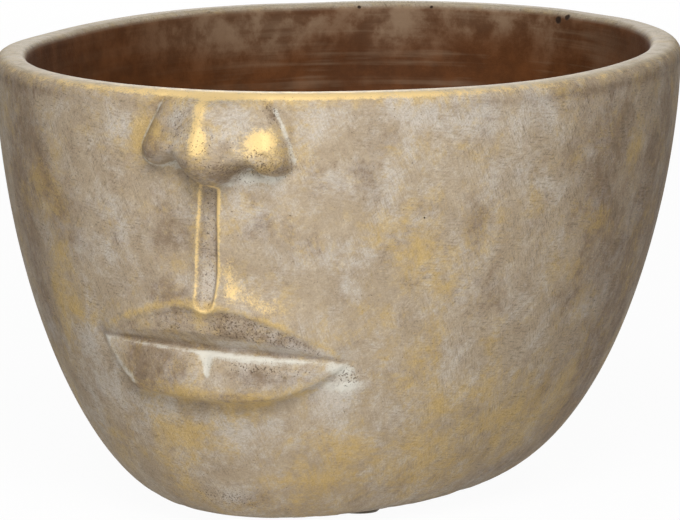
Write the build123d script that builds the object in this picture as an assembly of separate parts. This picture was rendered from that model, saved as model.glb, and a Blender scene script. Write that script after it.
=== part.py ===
from build123d import *
from math import cos, pi, radians, sin, sqrt
import os

# Head planter: a cast cement pot in the form of the lower half of a head, cut off level through
# the nose and hollow inside, with a rubber drain plug in its floor and rubber pads under its base.
# Millimetres, +Z up. The face looks along -Y. The origin is on the ground, midway between the tip
# of the nose and the back of the rim.

# Pot: outlines of rim and base, and the wall that swells from one to the other
RIM_WIDTH = 250.0
RIM_DEPTH = 310.0
RIM_WALL = 12.0
RIM_OUTER_ROUND = 4.5
RIM_INNER_ROUND = 3.5
BODY_HEIGHT = 162.0
BASE_WIDTH = 108.0
BASE_DEPTH = 196.0
BASE_FORWARD = 5.5
WALL_FULLNESS = 1.8
WALL_SECTIONS = 12
FLOOR_THICKNESS = 16.0
FLOOR_INSET = 4.0

# The face leans to its own left, about the middle of the lip line
FACE_LEAN = 4.0

# Nose: heights are down from the rim, reaches are ahead of the wall
NOSE_TOP_GAP = 0.5
NOSE_TOP_WIDTH = 44.0
NOSE_TOP_REACH = 6.0
NOSE_TOP_ROUND = 3.0
NOSE_BRIDGE_REACH = 9.5
NOSE_TIP_DROP = 23.0
NOSE_TIP_REACH = 16.0
NOSE_WIDTH = 60.0
NOSE_BASE_DROP = 29.5
NOSE_BASE_WIDTH = 58.0
NOSE_BASE_REACH = 13.0
NOSE_EDGE_SINK = 1.0
NOSE_ROOT = 7.0
RIDGE_WIDTH = 9.0
RIDGE_CROWN = 0.7
TIP_LOBE_WIDTH = 27.0
TIP_LOBE_DEPTH = 24.0
TIP_LOBE_RISE = 21.0
TIP_LOBE_SETBACK = 0.6
WING_TOP_REACH = 1.5
WING_BRIDGE_REACH = 2.5
WING_REACH = 8.5
WING_BASE_REACH = 7.0
WING_PLACE = 0.74
WING_GROOVE = 1.2
GROOVE_PLACE = 0.44

# Philtrum: a channel between two raised edges that join above the upper lip
PHILTRUM_WIDTH = 15.0
PHILTRUM_EDGE_REACH = 1.6
PHILTRUM_ROOT = 6.0
PHILTRUM_OVERLAP = 4.0
PHILTRUM_STEPS = 6
CHANNEL_WIDTH = 8.5
CHANNEL_DEPTH = 2.4
CHANNEL_CLEARANCE = 5.0

# Lips: the lip line above the underside of the base, the two lips along it and their reach
MOUTH_WIDTH = 95.0
LIP_LINE_HEIGHT = 67.0
MOUTH_CORNER_DROP = 2.5
LIP_SECTIONS = 9
LIP_ROOT = 7.0
LIP_CROSSING = 2.0
LIP_LINE_REACH = 0.8
LIP_CORNER_HEIGHT = 2.5
LIP_CORNER_SINK = 1.5
LIP_CORNER_CROWN = 0.25
UPPER_LIP_HEIGHT = 14.0
UPPER_LIP_REACH = 4.5
UPPER_LIP_BLEND = 14.0
LOWER_LIP_HEIGHT = 20.0
LOWER_LIP_REACH = 8.0
LOWER_LIP_EDGE_RISE = 4.5
LOWER_LIP_UNDERCUT = 5.0
LOWER_LIP_CROWN = 1.6

# Drain hole, its rubber plug and the rubber pads
DRAIN_DIAMETER = 22.0
PLUG_CLEARANCE = 0.2
PLUG_RIB_HEIGHT = 0.8
PLUG_RIB_PITCH = 4.5
PLUG_RIB_COUNT = 2
PLUG_END_GAP = 2.0
PLUG_END_CHAMFER = 1.5
PLUG_FLANGE_DIAMETER = 34.0
PLUG_FLANGE_THICKNESS = 3.5
PLUG_NECK_DIAMETER = 9.0
PLUG_NECK_HEIGHT = 5.0
PLUG_KNOB_DIAMETER = 14.0
PLUG_KNOB_HEIGHT = 6.0
PLUG_EDGE_ROUND = 1.2
PAD_DIAMETER = 16.0
PAD_THICKNESS = 3.0
PAD_EDGE_CHAMFER = 0.8
PAD_SPACING_ACROSS = 56.0
PAD_SPACING_ALONG = 112.0


def wall_swell(share):
    """How far the wall has spread from base outline (0) to rim outline (1) at a share of its rise."""
    return (1 - (1 - share) ** WALL_FULLNESS) ** (1 / WALL_FULLNESS)


def outline_between(low, high, swell):
    """Half width, half depth and centre of the oval that lies between two ovals."""
    return [start + (end - start) * swell for start, end in zip(low, high)]


# Half width, half depth and forward shift of the ovals that shape the pot
RIM_OVAL = [RIM_WIDTH / 2, RIM_DEPTH / 2, 0.0]
BASE_OVAL = [BASE_WIDTH / 2, BASE_DEPTH / 2, BASE_FORWARD]
OPENING_OVAL = [RIM_WIDTH / 2 - RIM_WALL, RIM_DEPTH / 2 - RIM_WALL, 0.0]
FLOOR_OVAL = [BASE_WIDTH / 2 - FLOOR_INSET, BASE_DEPTH / 2 - FLOOR_INSET, BASE_FORWARD]


def wall_oval(height):
    """Half width, half depth and forward shift of the wall's outside at a height."""
    return outline_between(BASE_OVAL, RIM_OVAL, wall_swell(height / BODY_HEIGHT))


def wall_front(across, height):
    """How far the front of the wall lies ahead of the rim's centre, at a distance across and a height."""
    half_width, half_depth, forward = wall_oval(height)
    return forward + half_depth * sqrt(1 - (across / half_width) ** 2)


def leaned(across, height):
    """Distance across the pot and height of a point that is placed by the leaning face's own axes."""
    lean = radians(FACE_LEAN)
    rise = height - LIP_LINE_HEIGHT
    return across * cos(lean) + rise * sin(lean), LIP_LINE_HEIGHT + rise * cos(lean) - across * sin(lean)


# The rim's centre lies behind the origin by half of what the nose adds in front
NOSE_TIP_HEIGHT = BODY_HEIGHT - NOSE_TIP_DROP
NOSE_FRONT = wall_front(*leaned(0, NOSE_TIP_HEIGHT)) + NOSE_TIP_REACH
RIM_CENTRE_Y = (NOSE_FRONT - RIM_DEPTH / 2) / 2
BASE_CENTRE_Y = RIM_CENTRE_Y - BASE_FORWARD
BASE_Z = PAD_THICKNESS
FLOOR_Z = BASE_Z + FLOOR_THICKNESS
RIM_Z = BASE_Z + BODY_HEIGHT


def face_point(across, height, reach):
    """Point that stands out from the face by its reach, placed by the leaning face's own axes."""
    pot_across, pot_height = leaned(across, height)
    return Vector(pot_across, RIM_CENTRE_Y - wall_front(pot_across, pot_height) - reach, BASE_Z + pot_height)


def oval(half_width, half_depth):
    """Flat oval face, made of two half arcs that meet at its sides."""
    front = EllipticalCenterArc((0, 0), half_width, half_depth, 180, arc_size=180)
    back = EllipticalCenterArc((0, 0), half_width, half_depth, 0, arc_size=180)
    return make_face([front, back])


def swelling_solid(low, high, bottom, top):
    """Solid that swells from the oval low at one height to the oval high at another."""
    sections = []
    for step in range(WALL_SECTIONS + 1):
        share = (1 - cos(step / WALL_SECTIONS * pi)) / 2
        half_width, half_depth, forward = outline_between(low, high, wall_swell(share))
        place = Pos(0, RIM_CENTRE_Y - forward, bottom + share * (top - bottom))
        sections.append(place * oval(half_width, half_depth))
    return loft(sections)


def face_ellipsoid(height, reach, width, depth, rise):
    """Ellipsoid on the face's middle line whose front stands out from the wall by its reach."""
    ball = scale(Sphere(1), by=(width / 2, depth / 2, rise / 2))
    return Pos(face_point(0, height, reach - depth / 2)) * ball


def nose_section(height, width, wing_reach, groove, ridge_reach):
    """Section across the nose: ridge in the middle, a groove beside it and a wing at each side."""
    edge = width / 2
    dip_reach = (wing_reach + ridge_reach) / 2 - groove
    half = [
        (edge, -NOSE_EDGE_SINK),
        (WING_PLACE * edge, wing_reach),
        (GROOVE_PLACE * edge, dip_reach),
        (RIDGE_WIDTH / 2, ridge_reach - RIDGE_CROWN),
    ]
    profile = [(-across, reach) for across, reach in half] + [(0, ridge_reach)] + half[::-1]
    points = [face_point(across, height, reach) for across, reach in profile]
    roots = [face_point(across, height, -NOSE_ROOT) for across in (edge, -edge)]
    front = Spline(points)
    back = Polyline(points[-1], *roots, points[0])
    return make_face([front, *back.edges()])


def nose():
    """Nose: wings and tip at its base, and a ridge that rounds off just below the rim's edge."""
    base = BODY_HEIGHT - NOSE_BASE_DROP
    raised_corner = NOSE_TOP_WIDTH / 2 * sin(radians(FACE_LEAN))
    top = BODY_HEIGHT - RIM_OUTER_ROUND - NOSE_TOP_GAP - raised_corner
    bridge = top - NOSE_TOP_ROUND
    middle = (NOSE_TIP_HEIGHT + bridge) / 2
    middle_width = (NOSE_WIDTH + NOSE_TOP_WIDTH) / 2
    middle_wing = (WING_REACH + WING_BRIDGE_REACH) / 2
    middle_ridge = (NOSE_TIP_REACH + NOSE_BRIDGE_REACH) / 2
    return loft([
        nose_section(base, NOSE_BASE_WIDTH, WING_BASE_REACH, WING_GROOVE, NOSE_BASE_REACH),
        nose_section(NOSE_TIP_HEIGHT, NOSE_WIDTH, WING_REACH, WING_GROOVE, NOSE_TIP_REACH),
        nose_section(middle, middle_width, middle_wing, 0, middle_ridge),
        nose_section(bridge, NOSE_TOP_WIDTH, WING_BRIDGE_REACH, 0, NOSE_BRIDGE_REACH),
        nose_section(top, NOSE_TOP_WIDTH, WING_TOP_REACH, 0, NOSE_TOP_REACH),
    ])


def tip_lobe():
    """Round lobe that the tip of the nose shows below the wings."""
    reach = NOSE_TIP_REACH - TIP_LOBE_SETBACK
    return face_ellipsoid(NOSE_TIP_HEIGHT, reach, TIP_LOBE_WIDTH, TIP_LOBE_DEPTH, TIP_LOBE_RISE)


def lip_swell(height):
    """How far the skin above the upper lip stands out on the middle line, most at the lip's border."""
    above_border = height - LIP_LINE_HEIGHT - UPPER_LIP_HEIGHT
    return UPPER_LIP_REACH * min(1, max(0, 1 - above_border / UPPER_LIP_BLEND))


def philtrum_bar(width, reach, root):
    """Upright bar from the nose down to the upper lip's border, with a rounded lower end.

    It stands out from the skin by its reach and goes into it by its root.
    """
    bottom = LIP_LINE_HEIGHT + UPPER_LIP_HEIGHT + PHILTRUM_WIDTH / 2
    top = NOSE_TIP_HEIGHT - TIP_LOBE_RISE / 2 + PHILTRUM_OVERLAP
    depth = reach + root
    sections = []
    for step in range(PHILTRUM_STEPS + 1):
        height = bottom + (top - bottom) * step / PHILTRUM_STEPS
        centre = face_point(0, height, lip_swell(height) + reach - depth / 2)
        sections.append(Pos(centre) * oval(width / 2, depth / 2))
    end = face_ellipsoid(bottom, lip_swell(bottom) + reach, width, depth, width)
    return loft(sections) + end


def lip_stations():
    """Distance across, height of the lip line and share of the way to the corner, along the mouth."""
    stations = []
    for step in range(LIP_SECTIONS):
        share = 2 * step / (LIP_SECTIONS - 1) - 1
        across = share * MOUTH_WIDTH / 2
        height = LIP_LINE_HEIGHT - MOUTH_CORNER_DROP * share ** 2
        stations.append((across, height, abs(share)))
    return stations


def lip_size(full, corner, share):
    """Size of a lip at a share of the way to the corner, full in the middle and fine at the corner."""
    return corner + (full - corner) * (1 - share ** 2)


def upper_lip():
    """Upper lip: the skin swells out to the lip's border, which falls back to the lip line."""
    sections = []
    for across, line, share in lip_stations():
        border = line + lip_size(UPPER_LIP_HEIGHT, LIP_CORNER_HEIGHT, share)
        reach = lip_size(UPPER_LIP_REACH, -LIP_CORNER_SINK, share)
        line_reach = lip_size(LIP_LINE_REACH, -LIP_CORNER_SINK, share)
        outline = Polyline(
            face_point(across, border + UPPER_LIP_BLEND, -LIP_ROOT),
            face_point(across, border + UPPER_LIP_BLEND, -LIP_CORNER_SINK),
            face_point(across, border, reach),
            face_point(across, line, line_reach),
            face_point(across, line - LIP_CROSSING, -LIP_ROOT),
            close=True,
        )
        sections.append(make_face(outline))
    return loft(sections)


def lower_lip():
    """Lower lip: its face swells out from the lip line to an edge with an undercut below."""
    sections = []
    for across, line, share in lip_stations():
        bottom = line - lip_size(LOWER_LIP_HEIGHT, LIP_CORNER_HEIGHT, share)
        edge = bottom + lip_size(LOWER_LIP_EDGE_RISE, LIP_CORNER_HEIGHT / 2, share)
        reach = lip_size(LOWER_LIP_REACH, -LIP_CORNER_SINK, share)
        line_reach = lip_size(LIP_LINE_REACH, -LIP_CORNER_SINK, share)
        crown = lip_size(LOWER_LIP_CROWN, LIP_CORNER_CROWN, share)
        undercut = lip_size(LOWER_LIP_UNDERCUT, LIP_CORNER_SINK, share)
        line_point = face_point(across, line, line_reach)
        edge_point = face_point(across, edge, reach)
        crown_point = (line_point + edge_point) / 2 - Vector(0, crown, 0)
        face_line = ThreePointArc(line_point, crown_point, edge_point)
        back_line = Polyline(
            edge_point,
            face_point(across, bottom, reach - undercut),
            face_point(across, bottom, -LIP_ROOT),
            face_point(across, line + LIP_CROSSING, -LIP_ROOT),
            line_point,
        )
        sections.append(make_face([face_line, *back_line.edges()]))
    return loft(sections)


def pot_body():
    """One-piece casting: the swelling wall with the face on it, its cavity and its drain hole."""
    edges = philtrum_bar(PHILTRUM_WIDTH, PHILTRUM_EDGE_REACH, PHILTRUM_ROOT)
    channel = philtrum_bar(CHANNEL_WIDTH, CHANNEL_CLEARANCE, CHANNEL_DEPTH)
    relief = [upper_lip(), lower_lip(), edges, nose(), tip_lobe()]
    body = swelling_solid(BASE_OVAL, RIM_OVAL, BASE_Z, RIM_Z)
    for piece in relief:
        body = body + piece
    body = body - channel
    body = body - swelling_solid(FLOOR_OVAL, OPENING_OVAL, FLOOR_Z, RIM_Z)
    drain = Cylinder(DRAIN_DIAMETER / 2, FLOOR_THICKNESS, align=(Align.CENTER, Align.CENTER, Align.MIN))
    body = body - Pos(0, BASE_CENTRE_Y, BASE_Z) * drain
    inner_edges = body.edges().group_by(Axis.Z)[-1].sort_by(SortBy.LENGTH)[:2]
    body = fillet(inner_edges, RIM_INNER_ROUND)
    outer_edges = body.edges().group_by(Axis.Z)[-1].sort_by(SortBy.LENGTH)[-2:]
    return fillet(outer_edges, RIM_OUTER_ROUND)


def drain_plug():
    """Rubber stopper: ribbed stem in the drain hole, flange on the floor and a knob to pull it by."""
    rib_radius = DRAIN_DIAMETER / 2 - PLUG_CLEARANCE
    stem_radius = rib_radius - PLUG_RIB_HEIGHT
    flange_radius = PLUG_FLANGE_DIAMETER / 2
    stem_end = PLUG_END_GAP - FLOOR_THICKNESS
    neck_bottom = PLUG_FLANGE_THICKNESS
    knob_bottom = neck_bottom + PLUG_NECK_HEIGHT
    knob_top = knob_bottom + PLUG_KNOB_HEIGHT
    stem = Pos(0, 0, stem_end) * Cylinder(
        stem_radius, -stem_end, align=(Align.CENTER, Align.CENTER, Align.MIN)
    )
    stem = chamfer(stem.edges().group_by(Axis.Z)[0], PLUG_END_CHAMFER)
    flange = Cylinder(flange_radius, PLUG_FLANGE_THICKNESS, align=(Align.CENTER, Align.CENTER, Align.MIN))
    flange = fillet(flange.edges().group_by(Axis.Z)[-1], PLUG_EDGE_ROUND)
    grip_outline = Polyline(
        (0, neck_bottom),
        (PLUG_NECK_DIAMETER / 2, neck_bottom),
        (PLUG_NECK_DIAMETER / 2, knob_bottom - PLUG_EDGE_ROUND),
        (PLUG_KNOB_DIAMETER / 2, knob_bottom),
        (PLUG_KNOB_DIAMETER / 2, knob_top - PLUG_EDGE_ROUND),
        (PLUG_KNOB_DIAMETER / 2 - PLUG_EDGE_ROUND, knob_top),
        (0, knob_top),
        close=True,
    )
    grip = revolve(Plane.XZ * make_face(grip_outline), Axis.Z)
    plug = stem + flange + grip
    for index in range(PLUG_RIB_COUNT):
        rib = Torus(stem_radius, PLUG_RIB_HEIGHT)
        plug = plug + Pos(0, 0, -PLUG_RIB_PITCH * (index + 0.5)) * rib
    return Pos(0, BASE_CENTRE_Y, FLOOR_Z) * plug


def foot_pad(side_x, side_y):
    """Round rubber pad flat against the underside of the base."""
    pad = Cylinder(PAD_DIAMETER / 2, PAD_THICKNESS, align=(Align.CENTER, Align.CENTER, Align.MIN))
    pad = chamfer(pad.edges().group_by(Axis.Z)[0], PAD_EDGE_CHAMFER)
    return Pos(side_x * PAD_SPACING_ACROSS / 2, BASE_CENTRE_Y + side_y * PAD_SPACING_ALONG / 2, 0) * pad


PAD_CORNERS = {
    "foot_pad_front_left": (1, -1),
    "foot_pad_front_right": (-1, -1),
    "foot_pad_back_left": (1, 1),
    "foot_pad_back_right": (-1, 1),
}

os.makedirs("parts", exist_ok=True)
export_step(pot_body(), "parts/pot_body.step")
export_step(drain_plug(), "parts/drain_plug.step")
for node, (side_x, side_y) in PAD_CORNERS.items():
    export_step(foot_pad(side_x, side_y), f"parts/{node}.step")
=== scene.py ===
import math
from collections import namedtuple

import bmesh
import bpy
import numpy as np
from bpy.props import FloatProperty, FloatVectorProperty, IntProperty, PointerProperty
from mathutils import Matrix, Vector, noise


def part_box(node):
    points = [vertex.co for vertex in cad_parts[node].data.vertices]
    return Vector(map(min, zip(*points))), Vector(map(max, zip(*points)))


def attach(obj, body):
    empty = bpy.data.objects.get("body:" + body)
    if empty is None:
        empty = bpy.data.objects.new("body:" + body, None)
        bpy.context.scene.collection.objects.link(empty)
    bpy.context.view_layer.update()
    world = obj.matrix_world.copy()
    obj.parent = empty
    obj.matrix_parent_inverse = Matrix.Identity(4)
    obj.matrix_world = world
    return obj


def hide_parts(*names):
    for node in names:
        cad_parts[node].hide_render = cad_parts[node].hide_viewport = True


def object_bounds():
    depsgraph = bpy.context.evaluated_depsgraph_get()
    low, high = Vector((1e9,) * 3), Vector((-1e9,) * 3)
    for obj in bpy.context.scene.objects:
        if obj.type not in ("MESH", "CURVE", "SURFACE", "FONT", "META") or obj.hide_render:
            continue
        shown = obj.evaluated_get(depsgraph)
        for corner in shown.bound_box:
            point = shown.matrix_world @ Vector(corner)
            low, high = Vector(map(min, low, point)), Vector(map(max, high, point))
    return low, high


bl_info = {
    "name": "Head planter",
    "version": (1, 0, 0),
    "blender": (4, 5, 0),
    "location": "View3D > Sidebar > Planter",
    "description": "Cast cement head planter: the pot with its face, its plug, its pads and a stage",
    "category": "Object",
}

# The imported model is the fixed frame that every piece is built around
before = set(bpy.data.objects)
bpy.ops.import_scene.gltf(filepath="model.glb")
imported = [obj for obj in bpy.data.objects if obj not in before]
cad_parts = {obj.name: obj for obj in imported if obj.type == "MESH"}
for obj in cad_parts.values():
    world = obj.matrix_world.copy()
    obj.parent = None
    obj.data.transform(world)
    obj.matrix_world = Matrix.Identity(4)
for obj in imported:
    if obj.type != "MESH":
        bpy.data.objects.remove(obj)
CAD_LOW, CAD_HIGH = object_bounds()
POT_LOW, POT_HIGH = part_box("pot_body")
MM = 0.001
PAD_NODES = ("foot_pad_front_left", "foot_pad_front_right", "foot_pad_back_left", "foot_pad_back_right")

# Whites of the stage, and the camera's sensor in mm and the end of its sight in metres
WHITE, FLOOR_PALE, FLOOR_GREY = (1.0,) * 3, (0.9,) * 3, (0.88,) * 3
SENSOR_WIDTH, CLIP_END = 36, 100

# Lamps: turn and height round the pot in degrees, distance and size in metres, share of the key's power
LAMPS = {
    "key_lamp": (17, 38, 1.7, 0.9, 1.0),
    "front_lamp": (20, 8, 2.2, 1.2, 0.34),
    "back_lamp": (198.7, 12, 2.4, 0.4, 0.6),
}


# Properties

def number(name, description, default, **settings):
    """Property for a number."""
    return FloatProperty(name=name, description=description, default=default, **settings)


def number_of(name, description, default):
    """Property for a number of faces."""
    return IntProperty(name=name, description=description, default=default, min=64)


def length(name, description, millimetres):
    """Property for a size, given in millimetres."""
    return number(name, description, millimetres * MM, unit="LENGTH", precision=4)


def share_of(name, description, default):
    """Property for a share, from 0 to 1."""
    return number(name, description, default, min=0, max=1, subtype="FACTOR")


def turn(name, description, degrees):
    """Property for an angle, given in degrees."""
    return number(name, description, math.radians(degrees), subtype="ANGLE")


def linear(level):
    """Light level of a display value from 0 to 255."""
    level = level / 255
    return level / 12.92 if level <= 0.04045 else ((level + 0.055) / 1.055) ** 2.4


def tint(name, description, red, green, blue):
    """Property for a colour, given by its display values from 0 to 255."""
    default = [linear(level) for level in (red, green, blue)]
    return FloatVectorProperty(name=name, description=description, default=default, subtype="COLOR")


class PotShape(bpy.types.PropertyGroup):
    """Wall, rim, floor and drain hole of the pot."""

    rim_width: length("Rim width", "Over the rim, side to side", (POT_HIGH.x - POT_LOW.x) / MM)
    rim_depth: length("Rim depth", "Over the rim, front to back", 310)
    rim_wall: length("Rim wall", "Thickness of the wall at the rim", 12)
    outer_round: length("Outer round", "Rounding of the rim's outer edge", 4.5)
    inner_round: length("Inner round", "Rounding of the rim's inner edge", 3.5)
    base_width: length("Base width", "Of the flat underside, side to side", 108)
    base_depth: length("Base depth", "Of the flat underside, front to back", 196)
    base_forward: length("Base forward", "How far the base lies ahead of the rim", 5.5)
    fullness: number("Fullness", "How full the wall swells on its way up", 1.8)
    floor_thickness: length("Floor thickness", "From the underside to the floor inside", 16)
    floor_inset: length("Floor inset", "How much smaller the floor is than the underside", 4)
    drain_diameter: length("Drain hole", "Diameter of the drain hole", 22)
    level_floor: length("Level floor", "Radius round the drain hole where the floor is level", 24)
    unevenness: length("Unevenness", "How far the hand-cast wall wanders from its true form", 0.35)
    wave: length("Wave", "Length of the wall's slow waves", 55)
    rim_wander: length("Rim wander", "How far the rim dips along its way", 0.2)
    base_wear: length("Base wear", "How far the edge of the base is worn and chipped", 0.9)
    columns: number_of("Columns", "Faces round the pot", 452)
    face_rows: number_of("Face rows", "Rows of faces over the height of the face", 145)


class FaceShape(bpy.types.PropertyGroup):
    """Nose, philtrum and lips: heights are above the underside, reaches are ahead of the wall."""

    lean: turn("Lean", "How far the face leans to its own left", 4)
    nose_top_reach: length("Nose reach at rim", "Reach of the ridge where it meets the rim", 5.5)
    nose_top_half: length("Nose half width at rim", "From the middle to the crease at the rim", 17)
    nose_half: length("Nose half width", "From the middle to the crease at the wings", 27.8)
    nose_reach: length("Nose reach", "Reach of the ridge at the tip", 15.8)
    ridge_half: length("Ridge half width", "Half width of the level top of the ridge", 4)
    top_knee: share_of("Knee at rim", "Share of the reach left at the flank's knee, at the rim", 0.15)
    wing_knee: share_of("Knee at wings", "Share of the reach left at the flank's knee, at the wings", 0.58)
    knee_place: share_of("Knee place", "Share of the flank's width that lies inside its knee", 0.7)
    tip_height: length("Tip height", "Height of the tip's foremost point", 141)
    tip_low: length("Tip low", "Height of the tip's lowest point", 128)
    tip_half: length("Tip half width", "Half width of the tip", 12.5)
    tip_rise: length("Tip rise", "Height over which the tip rounds under", 11.5)
    wing_low: length("Wing low", "Height of a wing's lowest point", 133.8)
    wing_curl: length("Wing curl", "From the middle to where a wing curls up", 22)
    wing_rise: length("Wing rise", "Height over which a wing rounds under", 6)
    groove_place: length("Groove place", "From the middle to the groove beside the tip", 12.5)
    wing_groove: length("Wing groove", "Depth of the groove between tip and wing", 0.7)
    crease_depth: length("Crease depth", "Depth of the crease between nose and cheek", 0.5)
    nostril_place: length("Nostril place", "From the middle to a nostril", 13.5)
    nostril_height: length("Nostril height", "Height of a nostril's arch", 137)
    nostril_size: length("Nostril size", "Radius of the shallow dent under a nostril", 3.4)
    nostril_depth: length("Nostril depth", "Depth of the dent under a nostril", 1.3)
    philtrum_shift: length("Philtrum shift", "How far the philtrum lies beside the face's axis", -1.2)
    philtrum_top: length("Philtrum top", "Height where the philtrum runs in under the nose", 127)
    philtrum_end: length("Philtrum end", "Height of the middle of its round lower end", 86)
    philtrum_half: length("Philtrum half width", "From its middle to the crest of an edge", 3.3)
    philtrum_edge: length("Philtrum edge", "Reach of the edges", 1.3)
    philtrum_slope: length("Philtrum slope", "Width of an edge's outer slope", 3)
    philtrum_depth: length("Philtrum depth", "Depth of the channel", 1.4)
    mouth_half: length("Mouth half width", "From the middle to a corner", 47)
    lip_line: length("Lip line", "Height of the line between the lips", 67.5)
    corner_drop: length("Corner drop", "How far the lip line drops at the corners", 1.5)
    upper_lip: length("Upper lip", "From the lip line up to the lip's border", 16.5)
    bow_dip: length("Bow dip", "Dip of the border under the philtrum", 2.2)
    lower_lip: length("Lower lip", "From the lip line down to the lip's edge", 19.5)
    blunt_run: length("Blunt end", "Width over which the lower lip's blunt right end falls", 18)
    border_reach: length("Border reach", "Reach of the upper lip's border", 5)
    bead: length("Bead", "Half height of the bead along the upper lip's border", 0.9)
    bead_step: length("Bead step", "How far the lip steps back behind the bead", 1.2)
    bow_crease: length("Bow crease", "Depth of the crease down from the border's bow", 0.9)
    upper_reach: length("Upper lip reach", "Reach of the fold low on the upper lip", 4.4)
    line_depth: length("Lip line depth", "Depth of the line between the lips", 1.4)
    shelf_reach: length("Shelf reach", "Reach of the lower lip just under the line", 2.6)
    lower_reach: length("Lower lip reach", "Reach of the lower lip at its fullest", 7.6)
    skin_blend: length("Skin blend", "Height over which the skin swells towards the upper lip", 16)
    notch_depth: length("Notch depth", "Depth of the small notch in the lower lip", 1.5)


class PotFinish(bpy.types.PropertyGroup):
    """Colours of the cement's patina and of the rubber."""

    undercoat: tint("Undercoat", "Brown coat that shows through the patina", 147, 130, 107)
    patina: tint("Patina", "Beige wash over the undercoat", 178, 162, 139)
    bloom: tint("Bloom", "Pale grey clouds of lime", 197, 192, 185)
    # Dark patina colour, also used as painted shade under the nose, in its creases and between the lips
    umber: tint("Umber", "Dark smudges and hollows", 109, 89, 70)
    # Golden wash colour, also used on the face as the gilding's painted shade
    ochre: tint("Ochre", "Golden wash rubbed into the patina", 190, 161, 100)
    gold: tint("Gold", "Gilding brushed over the raised forms", 224, 194, 134)
    lime: tint("Lime", "White lime left in the creases", 208, 205, 194)
    rim: tint("Rim", "Pale worn top of the rim", 218, 205, 180)
    inside: tint("Inside", "Bare inner wall", 104, 62, 31)
    inside_dust: tint("Inside dust", "Pale streaks on the inner wall", 146, 122, 98)
    speck: tint("Speck", "Fine dark specks", 78, 62, 48)
    pit: tint("Pit", "Air-bubble pits", 46, 32, 22)
    rubber: tint("Plug rubber", "Drain plug", 38, 37, 36)
    pad: tint("Pad rubber", "Pads under the base", 126, 115, 98)


class StageSettings(bpy.types.PropertyGroup):
    """Camera, lamps and floor."""

    azimuth: turn("Azimuth", "Camera's turn round the pot, from the face towards its left", 18.735)
    elevation: turn("Elevation", "Camera's height over the horizon", 8.227)
    distance: length("Distance", "From the camera to the pot", 3014)
    lens: number("Lens", "Focal length", 425.2, subtype="DISTANCE_CAMERA")
    aim_height: length("Aim height", "Height that the camera looks at", 83.5)
    key_power: number("Key lamp", "Power of the key lamp", 27.3, unit="POWER")
    fill_level: share_of("Fill", "Level of the light from all round", 0.075)
    floor_size: length("Floor size", "Side of the square floor", 12000)
    floor_white: share_of("Floor white", "Share of the floor's white that the lamps don't change", 0.96)


# Curves and fields that shape the pot

# Least height of a lip, which keeps shares of it finite at the mouth's ends
LEAST_LIP = 0.2 * MM


def eased(value, low, high):
    """0 up to low, 1 from high, with a smooth step between them."""
    share = np.clip((value - low) / (high - low), 0, 1)
    return share * share * (3 - 2 * share)


def mixed(low, high, share):
    """Between two values by a share."""
    return low + (high - low) * share


def hump(distance, width):
    """Round hump: 1 at no distance, falling away over its width."""
    return np.exp(-(distance / width) ** 2)


def swell(share, fullness):
    """How far the wall has spread from base outline (0) to rim outline (1) at a share of its rise."""
    return (1 - (1 - share) ** fullness) ** (1 / fullness)


def spaced(values, density, count):
    """So many of the values, closer together where the density is greater."""
    travelled = np.concatenate([[0], np.cumsum((density[1:] + density[:-1]) / 2)])
    return np.interp(np.linspace(0, travelled[-1], count), travelled, values)


def face_heights(low, high, rows):
    """Heights up the face, closer together over the lips and the nose."""
    heights = np.linspace(low, high, 20 * rows)
    lips = hump(heights - 67 * MM, 21 * MM) ** 0.5
    nose = eased(heights, 122 * MM, 132 * MM)
    return spaced(heights, 1 + 1.6 * lips + 1.6 * nose, rows)


def column_angles(columns):
    """Angles round the pot from the back, closer together over the face."""
    angles = np.linspace(-math.pi, math.pi, 20 * columns + 1)
    over_face = hump(angles, 0.44) ** 0.5
    return spaced(angles, 1 + 5 * over_face, columns + 1)


# Zones of the skin that the patina covers
OUTSIDE = ("wall", "rim", "inner_rim")

# One oval of the skin: its zone, its half sizes, how far it lies ahead of the rim, and its height
Row = namedtuple("Row", "zone half_width half_depth forward height")

# Rows on each stretch of the skin, and how they gather towards the rim inside
FLAT_ROWS, FOOT_ROWS, LOW_ROWS, OUTER_EDGE_ROWS, INNER_EDGE_ROWS, INSIDE_ROWS = 7, 9, 12, 8, 7, 25
GATHERED = 1.6


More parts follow.
